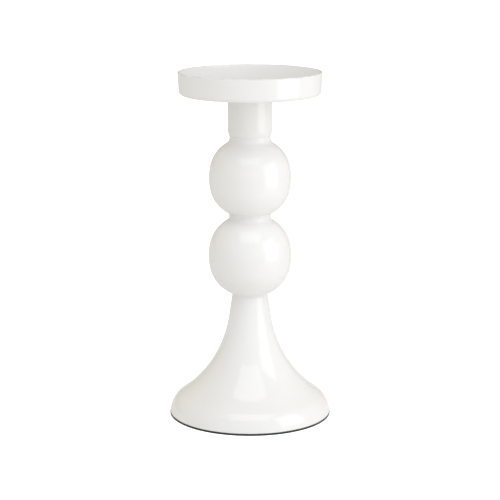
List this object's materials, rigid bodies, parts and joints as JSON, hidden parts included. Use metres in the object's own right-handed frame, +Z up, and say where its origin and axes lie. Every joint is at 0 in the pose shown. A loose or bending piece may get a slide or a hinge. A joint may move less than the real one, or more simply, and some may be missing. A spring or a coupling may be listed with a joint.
{
  "type": "pillar candle stand",
  "caption": "Turned white candle stand: flared felt-bottomed foot, stacked balls and a neck under a shallow round dish for a pillar candle, clamped by a hidden tie rod.",
  "frame": {"origin": "middle of the felt's underside, where the stand rests", "axes": "+Z up along the axis that every piece is turned about; X and Y are any two horizontal directions, because the stand is round"},
  "size_m": [0.1316, 0.1316, 0.28],
  "materials": {
    "lacquered_wood": "smooth gloss white lacquer over turned hardwood",
    "lacquered_metal": "smooth gloss white lacquer over spun sheet steel",
    "zinc_steel": "bright zinc plate",
    "felt": "dark green-grey wool felt"
  },
  "bodies": {
    "root": {"felt_pad": "felt", "base": "lacquered_wood", "lower_ball": "lacquered_wood", "upper_ball": "lacquered_wood", "neck": "lacquered_wood", "candle_dish": "lacquered_metal", "dish_boss": "zinc_steel", "tie_rod": "zinc_steel", "clamp_washer": "zinc_steel", "spring_washer": "zinc_steel", "hex_nut": "zinc_steel"}
  },
  "joints": []
}
